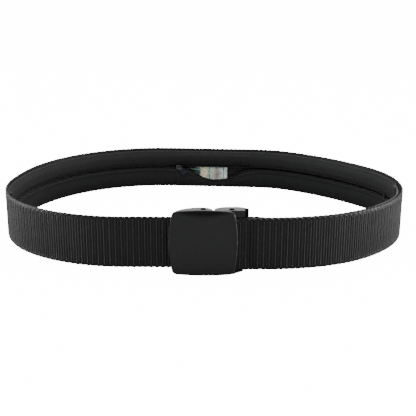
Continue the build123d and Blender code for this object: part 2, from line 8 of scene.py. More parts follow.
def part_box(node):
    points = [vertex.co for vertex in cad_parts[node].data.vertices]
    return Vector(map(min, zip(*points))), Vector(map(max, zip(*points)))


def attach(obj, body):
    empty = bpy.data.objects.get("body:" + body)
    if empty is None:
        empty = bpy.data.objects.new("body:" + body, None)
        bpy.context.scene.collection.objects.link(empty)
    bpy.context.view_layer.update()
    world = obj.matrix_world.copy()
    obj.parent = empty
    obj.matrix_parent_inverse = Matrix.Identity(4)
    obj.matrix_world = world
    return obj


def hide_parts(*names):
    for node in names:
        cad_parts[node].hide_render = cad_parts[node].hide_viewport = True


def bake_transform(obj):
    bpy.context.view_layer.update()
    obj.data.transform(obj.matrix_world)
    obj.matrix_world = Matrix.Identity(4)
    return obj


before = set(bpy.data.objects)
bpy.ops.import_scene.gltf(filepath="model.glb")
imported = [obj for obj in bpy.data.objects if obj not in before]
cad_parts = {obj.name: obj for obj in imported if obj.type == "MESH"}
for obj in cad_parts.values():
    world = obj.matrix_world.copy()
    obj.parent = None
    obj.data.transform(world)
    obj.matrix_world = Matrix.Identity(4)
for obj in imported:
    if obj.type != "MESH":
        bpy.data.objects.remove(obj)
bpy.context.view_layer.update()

MM = 0.001                         # sizes and places with a name in capitals are in mm

# ---------------------------------------------------------------- places taken from the frame
plate_low, plate_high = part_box("buckle_cover")
BUCKLE_X = (plate_low.x + plate_high.x) / 2 / MM
FRONT_Y = plate_low.y / MM
web_low, web_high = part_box("webbing")
WEB_LOW = web_low.z / MM
WEB_HIGH = web_high.z / MM
WEB_WIDTH = WEB_HIGH - WEB_LOW

# ---------------------------------------------------------------- the strap's route
HALF_WEB = 1.1                     # half the webbing's thickness
FIXED_DEPTH = 3.6                  # depths are measured from the plate's face to the strap's middle
FOLD_SEWN_DEPTH = 5.9
CLAMP_DEPTH = 9.5
TAIL_DEPTH = 10.4
TAIL_SEWN_DEPTH = 8.2
TAIL_GAP = 0.15                    # between the strap and the tail that lies on it
STRAIGHT_TO = 47.4                 # the front run is straight as far as this, from the buckle's middle
LOOP_ARCS = [                      # the loop in plan: radius and turn in degrees, or length and 0
    (127, 54), (95, 71), (217, 24), (76, 27), (84, 0), (123, 78), (230, 9), (95, 61),
]
BACK_RUN = (84, 0)
LAST_TURN = 36.0
REAR_PIN_X = 20.9
WRAP_R = 2.15                      # the fold's radius round the rear pin
PIN_DEPTH = FIXED_DEPTH + WRAP_R
FOLD_END = 38.5
FOLD_FLAT_TO = 32.0
FOLD_BEND_R = 12.0
TAIL_BEND_R = 9.0
FRAME_BEND_AT = 10.0
TAIL_BEND_AT = 24.0
TAIL_JOIN_AT = 38.6
TAIL_LEAVES = 62.0                 # heading at which the tail leaves the strap, in degrees
TAIL_HOOK = (58.0, 33.0)           # radius and turn of the tail's free end

LIFT = 0.8                         # the strap rides this much higher just right of the buckle
LIFT_FROM = (24.0, 36.0)
LIFT_TO = (60.0, 130.0)
LIFT_DEPTH = 100.0                 # only in the front half of the loop


def smooth_step(x):
    x = min(max(x, 0.0), 1.0)
    return x * x * (3 - 2 * x)


def strap_lift(x, y):
    if y > LIFT_DEPTH:
        return 0.0
    rise = smooth_step((x - LIFT_FROM[0]) / (LIFT_FROM[1] - LIFT_FROM[0]))
    return LIFT * rise * (1 - smooth_step((x - LIFT_TO[0]) / (LIFT_TO[1] - LIFT_TO[0])))


class Route:
    """A chain of straight runs and tangent arcs in plan: (radius, turn in degrees) with left
    turns positive, or (length, 0). Offsets are to the left, the inside of the loop."""

    def __init__(self, x, y, heading, pieces):
        self.spans = []
        at = 0.0
        for size, turn in pieces:
            length = size if turn == 0 else size * radians(abs(turn))
            self.spans.append((at, length, x, y, heading, size, turn))
            x, y = self.place(self.spans[-1], length, 0.0)
            heading += turn
            at += length
        self.length = at

    @staticmethod
    def place(span, along, offset):
        _, _, x, y, heading, size, turn = span
        h = radians(heading)
        if turn == 0:
            return x + along * cos(h) - offset * sin(h), y + along * sin(h) + offset * cos(h)
        side = 1 if turn > 0 else -1
        h_now = h + side * along / size
        reach = side * size - offset
        cx, cy = x - side * size * sin(h), y + side * size * cos(h)
        return cx + reach * sin(h_now), cy - reach * cos(h_now)

    def span_at(self, s):
        return next((p for p in self.spans if s <= p[0] + p[1] + 1e-9), self.spans[-1])

    def point(self, s, offset=0.0):
        span = self.span_at(s)
        return self.place(span, s - span[0], offset)

    def at(self, s, offset, z):
        """A point in the shared frame, in metres."""
        x, y = self.point(s, offset)
        return Vector((x + BUCKLE_X, y + FRONT_Y, z + strap_lift(x, y))) * MM

    def at_heading(self, heading):
        for start, length, _, _, h, _, turn in self.spans:
            if turn > 0 and h <= heading <= h + turn:
                return start + length * (heading - h) / turn
        raise ValueError(heading)


def s_bend(shift, radius):
    turn = degrees(acos(1 - abs(shift) / (2 * radius)))
    side = 1 if shift > 0 else -1
    return [(radius, side * turn), (radius, -side * turn)]


def s_bend_length(shift, radius):
    return 2 * radius * sin(acos(1 - abs(shift) / (2 * radius)))


def fold_pieces():
    """From the cut end, round the rear pin and on to the loop's start."""
    shift = PIN_DEPTH + WRAP_R - FOLD_SEWN_DEPTH
    return [
        (FOLD_END - FOLD_FLAT_TO, 0),
        *s_bend(-shift, FOLD_BEND_R),
        (FOLD_FLAT_TO - s_bend_length(shift, FOLD_BEND_R) - REAR_PIN_X, 0),
        (WRAP_R, 180),
        (STRAIGHT_TO - REAR_PIN_X, 0),
    ]


def loop_pieces():
    """Round the loop; the last arc's radius brings the strap back to the clamp's depth."""
    y = FIXED_DEPTH
    turned = 0.0
    for size, turn in LOOP_ARCS:
        if turn == 0:
            y += size * sin(radians(turned))
        else:
            y += size * (cos(radians(turned)) - cos(radians(turned + turn)))
        turned += turn
    last_radius = (y - CLAMP_DEPTH) / (1 - cos(radians(LAST_TURN)))
    return [*LOOP_ARCS, (last_radius, LAST_TURN)]


def tail_pieces(start_x):
    """Through the buckle, and along the inside of the loop to the free end."""
    drop = TAIL_DEPTH - CLAMP_DEPTH
    rise = TAIL_DEPTH - TAIL_SEWN_DEPTH
    inside = 2 * HALF_WEB + TAIL_GAP
    join = TAIL_SEWN_DEPTH - (FIXED_DEPTH + inside)
    drop_run = s_bend_length(drop, FOLD_BEND_R)
    rise_run = s_bend_length(rise, FOLD_BEND_R)
    join_run = s_bend_length(join, TAIL_BEND_R)
    return [
        (FRAME_BEND_AT - start_x, 0),
        *s_bend(drop, FOLD_BEND_R),
        (TAIL_BEND_AT - FRAME_BEND_AT - drop_run, 0),
        *s_bend(-rise, FOLD_BEND_R),
        (TAIL_JOIN_AT - TAIL_BEND_AT - rise_run, 0),
        *s_bend(-join, TAIL_BEND_R),
        (STRAIGHT_TO - TAIL_JOIN_AT - join_run, 0),
        (LOOP_ARCS[0][0] - inside, LOOP_ARCS[0][1]),
        (LOOP_ARCS[1][0] - inside, TAIL_LEAVES - LOOP_ARCS[0][1]),
        TAIL_HOOK,
    ]


def strap_route():
    loop = loop_pieces()
    loop_only = Route(STRAIGHT_TO, FIXED_DEPTH, 0, loop)
    tail = tail_pieces(loop_only.point(loop_only.length)[0])
    return Route(FOLD_END, FOLD_SEWN_DEPTH, 180, [*fold_pieces(), *loop, *tail])


POCKET_HEADINGS = (92, 285)        # the loop's headings at the pocket's ends, in degrees
ZIP_INSET = 20                     # from the pocket's ends to the zipper's
strap = strap_route()
back = next(span for span in strap.spans if span[5:] == BACK_RUN)
MIDDLE_S = back[0] - back[2] / cos(radians(back[4]))
POCKET_START = strap.at_heading(360 + POCKET_HEADINGS[0])
POCKET_END = strap.at_heading(360 + POCKET_HEADINGS[1])
ZIP_START = POCKET_START + ZIP_INSET
ZIP_END = POCKET_END - ZIP_INSET


def along(x):
    """Distance along the strap of a place on the back run."""
    return MIDDLE_S - x


# ---------------------------------------------------------------- material helpers
def new_material(name, color, roughness, **inputs):
    """A Principled material, and its nodes and links for more detail."""
    material = bpy.data.materials.new(name)
    material.use_nodes = True
    nodes = material.node_tree.nodes
    shader = nodes["Principled BSDF"]
    shader.inputs["Base Color"].default_value = (*color, 1)
    shader.inputs["Roughness"].default_value = roughness
    for key, value in inputs.items():
        shader.inputs[key.replace("_", " ")].default_value = value
    return material, nodes, material.node_tree.links, shader


def add_bump(nodes, links, shader, height, strength, distance):
    bump = nodes.new("ShaderNodeBump")
    bump.inputs["Strength"].default_value = strength
    bump.inputs["Distance"].default_value = distance
    links.new(height, bump.inputs["Height"])
    links.new(bump.outputs["Normal"], shader.inputs["Normal"])
    return bump


def noise_texture(nodes, links, scale, detail=2.0):
    place = nodes.new("ShaderNodeTexCoord")
    texture = nodes.new("ShaderNodeTexNoise")
    texture.inputs["Scale"].default_value = scale
    texture.inputs["Detail"].default_value = detail
    links.new(place.outputs["Object"], texture.inputs["Vector"])
    return texture.outputs["Fac"]


def value_math(nodes, links, operation, first, second):
    """One Math node; second is an output or a number."""
    node = nodes.new("ShaderNodeMath")
    node.operation = operation
    links.new(first, node.inputs[0])
    if isinstance(second, (int, float)):
        node.inputs[1].default_value = second
    else:
        links.new(second, node.inputs[1])
    return node.outputs["Value"]


def near_value(nodes, links, value, middle, half):
    """1 within half of the middle, 0 outside."""
    test = nodes.new("ShaderNodeMath")
    test.operation = "COMPARE"
    test.inputs[1].default_value = middle
    test.inputs[2].default_value = half
    links.new(value, test.inputs[0])
    return test.outputs["Value"]


def map_range(nodes, links, value, low, high, to_low, to_high):
    node = nodes.new("ShaderNodeMapRange")
    node.inputs["From Min"].default_value = low
    node.inputs["From Max"].default_value = high
    node.inputs["To Min"].default_value = to_low
    node.inputs["To Max"].default_value = to_high
    links.new(value, node.inputs["Value"])
    return node.outputs["Result"]


def mixed(nodes, links, share, first, second):
    """A colour or a colour output, mixed with a second colour by a share."""
    mix = nodes.new("ShaderNodeMix")
    mix.data_type = "RGBA"
    if isinstance(first, tuple):
        mix.inputs[6].default_value = (*first, 1)
    else:
        links.new(first, mix.inputs[6])
    mix.inputs[7].default_value = (*second, 1)
    links.new(share, mix.inputs[0])
    return mix.outputs[2]


def fill_ramp(ramp, stops):
    """Set a colour ramp's stops, given as (position, colour) from left to right."""
    while len(ramp.elements) < len(stops):
        ramp.elements.new(0.5)
    for element, (position, color) in zip(ramp.elements, stops):
        element.position = position
        element.color = (*color, 1)


def cloth(name, color, roughness, grain, strength, gloss=0.25):
    material, nodes, links, shader = new_material(name, color, roughness, Specular_IOR_Level=gloss)
    add_bump(nodes, links, shader, noise_texture(nodes, links, grain), strength, 0.0003)
    return material


def plastic(name, color, roughness, grain, strength):
    material, nodes, links, shader = new_material(name, color, roughness, Specular_IOR_Level=0.4)
    add_bump(nodes, links, shader, noise_texture(nodes, links, grain, 3), strength, 0.0001)
    return material


# ---------------------------------------------------------------- materials
# painted light on the webbing: painted shade in the grooves, a painted highlight on the crests
GROOVE_SHADE = (0.0015, 0.0015, 0.0015)
BROAD_RIB_LIGHT = (0.011, 0.011, 0.011)
CREST_HIGHLIGHT = (0.050, 0.050, 0.050)
RIB_LIGHT_STOPS = [(0.3, GROOVE_SHADE), (0.62, BROAD_RIB_LIGHT), (0.95, CREST_HIGHLIGHT)]


def webbing_cloth():
    """Black webbing with painted light, read from a value stored on its points: a painted highlight on
    the ribs' crests and painted shade in the grooves.
    """
    material, nodes, links, shader = new_material(
        "webbing_cloth", GROOVE_SHADE, 0.45, Specular_IOR_Level=0.25
    )
    rib_light = nodes.new("ShaderNodeAttribute")
    rib_light.attribute_name = "rib_light"
    ramp = nodes.new("ShaderNodeValToRGB")
    fill_ramp(ramp.color_ramp, RIB_LIGHT_STOPS)
    links.new(rib_light.outputs["Fac"], ramp.inputs["Fac"])
    links.new(ramp.outputs["Color"], shader.inputs["Base Color"])
    add_bump(nodes, links, shader, noise_texture(nodes, links, 1600), 0.5, 0.0003)
    return material


PLASTIC = (0.0035, 0.0035, 0.0035)
# painted highlight colour for faces lit from above and for the plate's right edge
HIGHLIGHT_PLASTIC = (0.04, 0.04, 0.04)
GLOSS = 0.35                       # specular levels of the plastic, and of its matt band
MATT = 0.10
FRONT_THICK = 2.0                  # what is this near the plate's face counts as the front plate
GRAINED_FROM = 22.0                # the frame's walls are grained from here to their right end
WALL_END_FROM = 30.6               # the walls' right ends have no painted highlight and no gloss from here
BAND_LOW = 46.3                    # height of the matt band's lower edge at the plate's middle
BAND_SOFT = 1.5
BAND_CURVE = 8.5                   # how quickly that edge rises to the sides, in 1/m


def matt_band(nodes, links, spot):
    """1 in a lens-shaped band under the plate's upper edge; spot is a position split in X, Y, Z."""
    across = value_math(nodes, links, "SUBTRACT", spot.outputs["X"], BUCKLE_X * MM)
    curve = value_math(nodes, links, "MULTIPLY", across, across)
    lowered = value_math(nodes, links, "MULTIPLY", curve, BAND_CURVE)
    height = value_math(nodes, links, "SUBTRACT", spot.outputs["Z"], lowered)
    low = (BAND_LOW - BAND_SOFT) * MM
    high = (BAND_LOW + BAND_SOFT) * MM
    return map_range(nodes, links, height, low, high, 0, 1)


def highlight_faces(nodes, links, on_front):
    """Painted highlight: 1 on faces that look up, and on the front plate's right edge, where the lamps
    light the plastic.
    """
    geometry = nodes.new("ShaderNodeNewGeometry")
    facing = nodes.new("ShaderNodeSeparateXYZ")
    links.new(geometry.outputs["Normal"], facing.inputs["Vector"])
    upward = map_range(nodes, links, facing.outputs["Z"], 0.7, 0.95, 0, 1)
    sideways = map_range(nodes, links, facing.outputs["X"], 0.25, 0.6, 0, 1)
    plate_edge = value_math(nodes, links, "MULTIPLY", sideways, on_front)
    return value_math(nodes, links, "MAXIMUM", upward, plate_edge)


def buckle_plastic():
    """Black plastic with a painted highlight on its upper faces and the plate's right edge, a matt
    band and grained walls.
    """
    material, nodes, links, shader = new_material("buckle_plastic", PLASTIC, 0.3)
    place = nodes.new("ShaderNodeTexCoord")
    spot = nodes.new("ShaderNodeSeparateXYZ")
    links.new(place.outputs["Object"], spot.inputs["Vector"])
    front_to = (FRONT_Y + FRONT_THICK) * MM
    on_front = value_math(nodes, links, "LESS_THAN", spot.outputs["Y"], front_to)
    end_from = (BUCKLE_X + WALL_END_FROM) * MM
    before_end = value_math(nodes, links, "LESS_THAN", spot.outputs["X"], end_from)
    band = value_math(nodes, links, "MULTIPLY", matt_band(nodes, links, spot), on_front)
    gloss = map_range(nodes, links, band, 0, 1, GLOSS, MATT)
    gloss = value_math(nodes, links, "MULTIPLY", gloss, before_end)
    links.new(gloss, shader.inputs["Specular IOR Level"])
    # painted highlight on lit faces, none on the walls' right ends
    highlight = value_math(nodes, links, "MULTIPLY", highlight_faces(nodes, links, on_front), before_end)
    links.new(mixed(nodes, links, highlight, PLASTIC, HIGHLIGHT_PLASTIC), shader.inputs["Base Color"])
    bump = add_bump(nodes, links, shader, noise_texture(nodes, links, 1500, 3), 0.1, 0.0002)
    grain_from = (BUCKLE_X + GRAINED_FROM) * MM
    grain = map_range(nodes, links, spot.outputs["X"], grain_from, grain_from + MM, 0.1, 1.0)
    links.new(grain, bump.inputs["Strength"])
    return material


WEBBING = webbing_cloth()
LINING = cloth("lining_cloth", (0.0185, 0.0185, 0.0193), 0.7, 2200, 0.25, 0.08)
TAPE = cloth("tape_cloth", (0.003, 0.003, 0.0035), 0.6, 2500, 0.3)
THREAD = cloth("thread", (0.006, 0.006, 0.007), 0.5, 4000, 0.2)
BLACK_THREAD = cloth("black_thread", (0.002, 0.002, 0.0022), 0.8, 4000, 0.2)
COIL = plastic("coil_plastic", (0.005, 0.005, 0.0055), 0.35, 900, 0.05)
BUCKLE = buckle_plastic()
TIP = new_material("tip_plastic", (0.01, 0.01, 0.0105), 0.6, Specular_IOR_Level=0.12)[0]
SLIDER = new_material("slider_metal", (0.07, 0.07, 0.075), 0.22, Metallic=1.0)[0]
PULL = new_material("pull_metal", (0.009, 0.0085, 0.017), 0.4, Specular_IOR_Level=0.3)[0]
# painted shade: the pins and their rims are near black and unglossy, so they read as shaded holes
PIN_SHADE = new_material("pin_steel", (0.002, 0.002, 0.002), 0.8, Specular_IOR_Level=0.0)[0]
HEM = new_material("hem_cloth", (0.014, 0.014, 0.0155), 0.6, Specular_IOR_Level=0.3)[0]


# ---------------------------------------------------------------- mesh helpers
def mesh_object(name, points, faces, material, smooth=True):
    mesh = bpy.data.meshes.new(name)
    mesh.from_pydata([tuple(p) for p in points], [], faces)
    shape = bmesh.new()
    shape.from_mesh(mesh)
    bmesh.ops.recalc_face_normals(shape, faces=shape.faces)
    shape.to_mesh(mesh)
    shape.free()
    for polygon in mesh.polygons:
        polygon.use_smooth = smooth
    mesh.materials.append(material)
    obj = bpy.data.objects.new(name, mesh)
    bpy.context.scene.collection.objects.link(obj)
    return obj


def ring_faces(rings, count, first=0):
    """Quads between rings of count points each, with the two ends closed."""
    faces = []
    for i in range(rings - 1):
        low, high = first + i * count, first + (i + 1) * count
        for j in range(count):
            k = (j + 1) % count
            faces.append((low + j, low + k, high + k, high + j))
    faces.append(tuple(range(first, first + count)))
    faces.append(tuple(range(first + (rings - 1) * count, first + rings * count)))
    return faces


def steps(start, end, step):
    count = max(1, round((end - start) / step))
    return [start + (end - start) * i / count for i in range(count + 1)]


def sweep(name, stations, section, material):
    """A closed section, a list of (offset, height), carried along the strap's route."""
    points = []
    count = 0
    for s in stations:
        ring = [strap.at(s, offset, z) for offset, z in section(s)]
        count = len(ring)
        points += ring
    return mesh_object(name, points, ring_faces(len(stations), count), material)


def store_value(obj, name, values):
    """One number per point, for a material to read."""
    layer = obj.data.attributes.new(name, "FLOAT", "POINT")
    layer.data.foreach_set("value", values)


def tube_points(path, radius, sides):
    """Rings of points round a path."""
    points = []
    for i, here in enumerate(path):
        ahead = path[min(i + 1, len(path) - 1)] - path[max(i - 1, 0)]
        ahead.normalize()
        side = ahead.cross(Vector((0, 0, 1)))
        if side.length < 1e-4:
            side = ahead.cross(Vector((1, 0, 0)))
        side.normalize()
        up = side.cross(ahead)
        for j in range(sides):
            angle = 2 * pi * j / sides
            points.append(here + (side * cos(angle) + up * sin(angle)) * radius * MM)
    return points


# ---------------------------------------------------------------- ribbed webbing
RIB_PITCH = 4.4
RIB_RISE = 0.6                     # height of the ribs above the grooves
BROAD_SHARE = 0.62                 # the broad ribs' share of that height
BROAD_HALF = 1.3
NARROW_HALF = 0.62
SELVEDGE = 3.2                     # width of the woven edge, where the ribs cross over
EDGE_WAVE = 0.18                   # how far the edges swing in and out
WAVE_REACH = 2.0                   # and how far in from the edge the swing is felt
EDGE_ROUND = 0.9                   # the section thins over this width at each edge
EDGE_THINNING = 0.55
INNER_SHIFT = 0.3                  # between the ribs of the outer and the inner face
WEB_STEP = 0.36
LIGHTER_TAIL = 70.0                 # length of the tail whose upper edge is painted lighter
LIGHTER_EDGE = 1.2
LIGHTER_EDGE_SHARE = 0.85


def lobe(distance, half_width):
    t = abs(distance) / half_width
    return (1 + cos(pi * t)) / 2 if t < 1 else 0.0


def rib_distance(s, phase):
    """Signed distance to the nearest rib of this phase."""
    t = s / RIB_PITCH + phase
    return (t - floor(t + 0.5)) * RIB_PITCH


def rib_height(s, edge):
    """Broad and narrow ribs side by side; towards the edge the narrow ones cross in a zigzag."""
    broad = BROAD_SHARE * lobe(rib_distance(s, 0.5), BROAD_HALF) * (1 - edge)
    swing = edge * 0.5
    left = lobe(rib_distance(s, swing), NARROW_HALF)
    right = lobe(rib_distance(s, -swing), NARROW_HALF)
    return max(broad, left, right)


def web_rows():
    """Heights of the section's points above the lower edge, closer together near the edges."""
    edge = [0.0, 0.45, 1.1, 1.8, 2.5, SELVEDGE]
    middle = [SELVEDGE + (WEB_WIDTH - 2 * SELVEDGE) * i / 4 for i in range(1, 4)]
    top = [WEB_WIDTH - e for e in reversed(edge)]
    return edge + middle + top


WEB_ROWS = web_rows()


def edge_share(row):
    """1 at the webbing's edges, 0 past the woven edge."""
    return smooth_step(1 - min(row, WEB_WIDTH - row) / SELVEDGE)


def web_half(s, row):
    """Half the webbing's thickness."""
    from_edge = min(row, WEB_WIDTH - row)
    rounding = 1 - EDGE_THINNING * max(0.0, 1 - from_edge / EDGE_ROUND) ** 2
    return (HALF_WEB - RIB_RISE + RIB_RISE * rib_height(s, edge_share(row))) * rounding


def web_section(s):
    wave = EDGE_WAVE * cos(2 * pi * s / RIB_PITCH)
    outer, inner = [], []
    for row in WEB_ROWS:
        pull = wave * max(0.0, 1 - min(row, WEB_WIDTH - row) / WAVE_REACH)
        z = WEB_LOW + row + (pull if row > WEB_WIDTH / 2 else -pull)
        outer.append((-web_half(s, row), z))
        inner.append((web_half(s + INNER_SHIFT, row), z))
    return outer + inner[::-1]


def web_rib_light(s):
    """How far each point of the section stands out on a rib, 0 to 1: low values get painted shade,
    high values a painted highlight.
    """
    outer, inner = [], []
    for row in WEB_ROWS:
        # the tail's upper rows are painted lighter
        on_edge = s > strap.length - LIGHTER_TAIL and row > WEB_WIDTH - LIGHTER_EDGE
        lightened = LIGHTER_EDGE_SHARE if on_edge else 0.0
        outer.append(max(rib_height(s, edge_share(row)), lightened))
        inner.append(max(rib_height(s + INNER_SHIFT, edge_share(row)), lightened))
    return outer + inner[::-1]


web_steps = steps(0, strap.length, WEB_STEP)
webbing = sweep("ribbed_webbing", web_steps, web_section, WEBBING)
# the ribs' painted shade and painted highlight, one value per point
store_value(webbing, "rib_light", [value for s in web_steps for value in web_rib_light(s)])
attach(webbing, "belt")
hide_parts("webbing")

# ---------------------------------------------------------------- sealed end of the tail
TIP_LENGTH = 9.0
TIP_HALF = 1.75
TIP_ROUND_FROM = 1.0               # the sleeve's rounding starts this far before the webbing's end
TIP_FINE_FROM = 0.7                # and it is drawn in finer steps from this far before it
TIP_END = 0.7                      # and the sleeve ends this far past the webbing's end
TIP_PAST = 0.25                    # past the webbing's edges
TIP_SOFT = 0.5


def tip_section(s):
    """A sleeve over the cut edge, rounded towards its end."""
    past = max(0.0, s - (strap.length - TIP_ROUND_FROM)) / TIP_HALF
    half = TIP_HALF * max(0.1, 1 - past * past) ** 0.5
    low, high = WEB_LOW - TIP_PAST, WEB_HIGH + TIP_PAST
    corner = half - TIP_SOFT * half / TIP_HALF
    return [
        (-half, low + TIP_SOFT), (-half, high - TIP_SOFT), (-corner, high), (corner, high),
        (half, high - TIP_SOFT), (half, low + TIP_SOFT), (corner, low), (-corner, low),
    ]


tip_steps = steps(strap.length - TIP_LENGTH, strap.length - TIP_ROUND_FROM, 1.0)
tip_steps += steps(strap.length - TIP_FINE_FROM, strap.length + TIP_END, 0.25)
tip_sleeve = sweep("tip_sleeve", tip_steps, tip_section, TIP)
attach(tip_sleeve, "belt")
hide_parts("strap_tip")

# ---------------------------------------------------------------- lining strips
SEAM_INSET = 2.4                   # from the webbing's edges to the lining's seams
ZIP_HEIGHT = WEB_LOW + 20.8
LINING_LOW = WEB_LOW + SEAM_INSET
LINING_HIGH = WEB_HIGH - SEAM_INSET
LINING_FRONT = 4.0                 # from the strap's middle to the lining's front
LINING_THICK = 0.6
LINING_PAST = 5.8                  # the lining runs under the bindings at the pocket's ends
LINING_STEP = 1.6
STRIP_ROWS = 7
SWELL = 0.35                       # the strip stands out this far between its seam and its edge
RIPPLE = 0.2
RIPPLE_RUN = (26.0, 9.0)           # how slowly it changes along the strip and across it
RIPPLE_SEED = 3.7
TUCK = 2.2                         # the strip is drawn in this far where it is sewn to the webbing
TUCK_SHARE = 0.45                  # and over this share of its width
FOOT_WIDTH = 1.2                   # the sewn foot's width, and how far it is sunk in the webbing
FOOT_SUNK = 0.1
FREE_EDGE_PROUD = 0.05             # the middle of the free edge stands this far out
OPEN_STEP = 0.70                   # from the zipper's middle to each coil where they are parted
ZIP_BAND = 3.3                     # half the gap between the lining's edges in the slider's room
CLOSED_BAND = 1.7                  # the same where the zipper is closed
SLIDER_ROOM = (-31.0, 46.0)        # the stretch along the back that the slider needs clear
ROOM_SOFT = 8.0
MOUTH = (-17.0, 36.0)              # where the upper strip's edge is drawn up above the open mouth
MOUTH_GAPE = 1.8
MOUTH_SOFT = 12.0
HEM_R = 0.33
LIP_TOP = ZIP_HEIGHT - OPEN_STEP
LIP = [                            # the open lip's top: places along the back, and heights
    (-20.5, LIP_TOP), (-10.0, 18.4), (0.0, 13.6), (10.0, 11.7),
    (24.0, 13.8), (36.0, 19.9), (50.0, LIP_TOP),
]


def lip_slope(k):
    if k == 0 or k == len(LIP) - 1:
        return 0.0
    return (LIP[k + 1][1] - LIP[k - 1][1]) / (LIP[k + 1][0] - LIP[k - 1][0])


def lip_height(x):
    """Height of the open lip's top at a place along the back run, a smooth curve through LIP."""
    if x <= LIP[0][0] or x >= LIP[-1][0]:
        return LIP_TOP
    i = next(k for k in range(len(LIP) - 1) if x <= LIP[k + 1][0])
    (x0, z0), (x1, z1) = LIP[i], LIP[i + 1]
    width = x1 - x0
    t = (x - x0) / width
    return (
        z0 * (1 + 2 * t) * (1 - t) ** 2
        + lip_slope(i) * width * t * (1 - t) ** 2
        + z1 * t * t * (3 - 2 * t)
        + lip_slope(i + 1) * width * t * t * (t - 1)
    )


def lip_sag(s):
    return LIP_TOP - lip_height(MIDDLE_S - s)


def outside(x, stretch):
    """How far a place along the back is outside a stretch of it."""
    return max(stretch[0] - x, x - stretch[1], 0.0)


def zip_band(s):
    """Half the gap between the lining's edges."""
    closed = smooth_step(outside(MIDDLE_S - s, SLIDER_ROOM) / ROOM_SOFT)
    return ZIP_BAND + (CLOSED_BAND - ZIP_BAND) * closed


def upper_edge(s):
    """Height of the upper strip's free edge."""
    gape = MOUTH_GAPE * (1 - smooth_step(outside(MIDDLE_S - s, MOUTH) / MOUTH_SOFT))
    return ZIP_HEIGHT + zip_band(s) + gape


def lower_edge(s):
    """Height of the lower strip's free edge."""
    return ZIP_HEIGHT - zip_band(s) - lip_sag(s)


def ripple(s, z):
    """Slow unevenness of sewn cloth."""
    return RIPPLE * noise.noise(Vector((s / RIPPLE_RUN[0], z / RIPPLE_RUN[1], RIPPLE_SEED)))


def strip_section(s, seam_z, edge_z):
    """A lining strip: sewn to the webbing at seam_z, hemmed and free at edge_z."""
    up = 1 if edge_z > seam_z else -1
    front, inner = [], []
    for i in range(STRIP_ROWS + 1):
        t = i / STRIP_ROWS
        z = seam_z + (edge_z - seam_z) * t
        lift = SWELL * sin(pi * t) + ripple(s, z) * sin(pi * min(t * 1.5, 1.0))
        tuck = TUCK * (1 - smooth_step(t / TUCK_SHARE))
        front.append((LINING_FRONT + lift - tuck, z))
        inner.append((LINING_FRONT + lift - tuck - LINING_THICK, z))
    free_edge = [(LINING_FRONT - LINING_THICK / 2, edge_z + up * FREE_EDGE_PROUD)]
    sunk = HALF_WEB - FOOT_SUNK
    foot = [(sunk, seam_z + up * FOOT_WIDTH), (sunk, seam_z)]
    return front + free_edge + inner[::-1][:-1] + foot


def upper_section(s):
    return strip_section(s, LINING_HIGH, upper_edge(s))


def lower_section(s):
    return strip_section(s, LINING_LOW, lower_edge(s))


def hem_section(edge_z):
    """A round hem along a strip's free edge."""
    middle = LINING_FRONT - HEM_R
    turns = [pi * k / 4 for k in range(8)]
    return [(middle + HEM_R * cos(turn), edge_z + HEM_R * sin(turn)) for turn in turns]


pocket_steps = steps(POCKET_START - LINING_PAST, POCKET_END + LINING_PAST, LINING_STEP)
lining_upper = sweep("lining_strip_upper", pocket_steps, upper_section, LINING)
lining_lower = sweep("lining_strip_lower", pocket_steps, lower_section, LINING)
for strip, node in ((lining_upper, "lining_upper"), (lining_lower, "lining_lower")):
    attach(strip, "belt")
    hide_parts(node)

for name, edge in (("hem_upper", upper_edge), ("hem_lower", lower_edge)):
    hem = sweep(name, pocket_steps, lambda s, edge=edge: hem_section(edge(s)), HEM)
    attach(hem, "belt")

# ---------------------------------------------------------------- zipper tapes
TAPE_OFF = (2.9, 3.3)              # from the strap's middle to the tape's back and front
TAPE_WIDTH = 8.0
TAPE_GAP = 0.7                     # from the zipper's middle to each tape
TAPE_CLEAR = 2.4                   # from the lower seam to the lower tape
TAPE_PAST = 8


def tape_section(edge, far_edge):
    near, far = TAPE_OFF
    return [(near, edge), (far, edge), (far, far_edge), (near, far_edge)]


def tape_upper_section(s):
    return tape_section(ZIP_HEIGHT + TAPE_GAP, ZIP_HEIGHT + TAPE_WIDTH)


def tape_lower_section(s):
    edge = ZIP_HEIGHT - TAPE_GAP - lip_sag(s)
    return tape_section(edge, max(edge - TAPE_WIDTH + TAPE_GAP, LINING_LOW + TAPE_CLEAR))


tape_steps = steps(ZIP_START - TAPE_PAST, ZIP_END + TAPE_PAST, LINING_STEP)
for name, section, node in (
    ("tape_strip_upper", tape_upper_section, "zipper_tape_upper"),
    ("tape_strip_lower", tape_lower_section, "zipper_tape_lower"),
):
    tape = sweep(name, tape_steps, section, TAPE)
    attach(tape, "belt")
    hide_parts(node)

# ---------------------------------------------------------------- coils: a helix on each tape
COIL_WIDTH = 1.25
COIL_PITCH = 1.15
COIL_OFF = 3.95
COIL_REACH = 0.39                  # how far the wire's middle swings out and in
WIRE_R = 0.24
WIRE_SIDES = 5
STEPS_PER_TURN = 9
SLIDER_X = -26.1
PARTED_FROM = SLIDER_X + 1.2       # the coils are fully parted from here to the right
PARTING = 3.0                      # the coils part over this length inside the slider
JOINED_GAP = 0.05                  # half the gap between the joined coils
CLOSED_MID = JOINED_GAP + COIL_WIDTH / 2
OPEN_MID = OPEN_STEP + COIL_WIDTH / 2


def coil_part(s):
    """Distance from the zipper's middle to a coil's."""
    t = smooth_step((MIDDLE_S - s - PARTED_FROM + PARTING) / PARTING)
    return CLOSED_MID + (OPEN_MID - CLOSED_MID) * t


def upper_coil_height(s):
    return ZIP_HEIGHT + coil_part(s)


def lower_coil_height(s):
    return ZIP_HEIGHT - coil_part(s) - lip_sag(s)


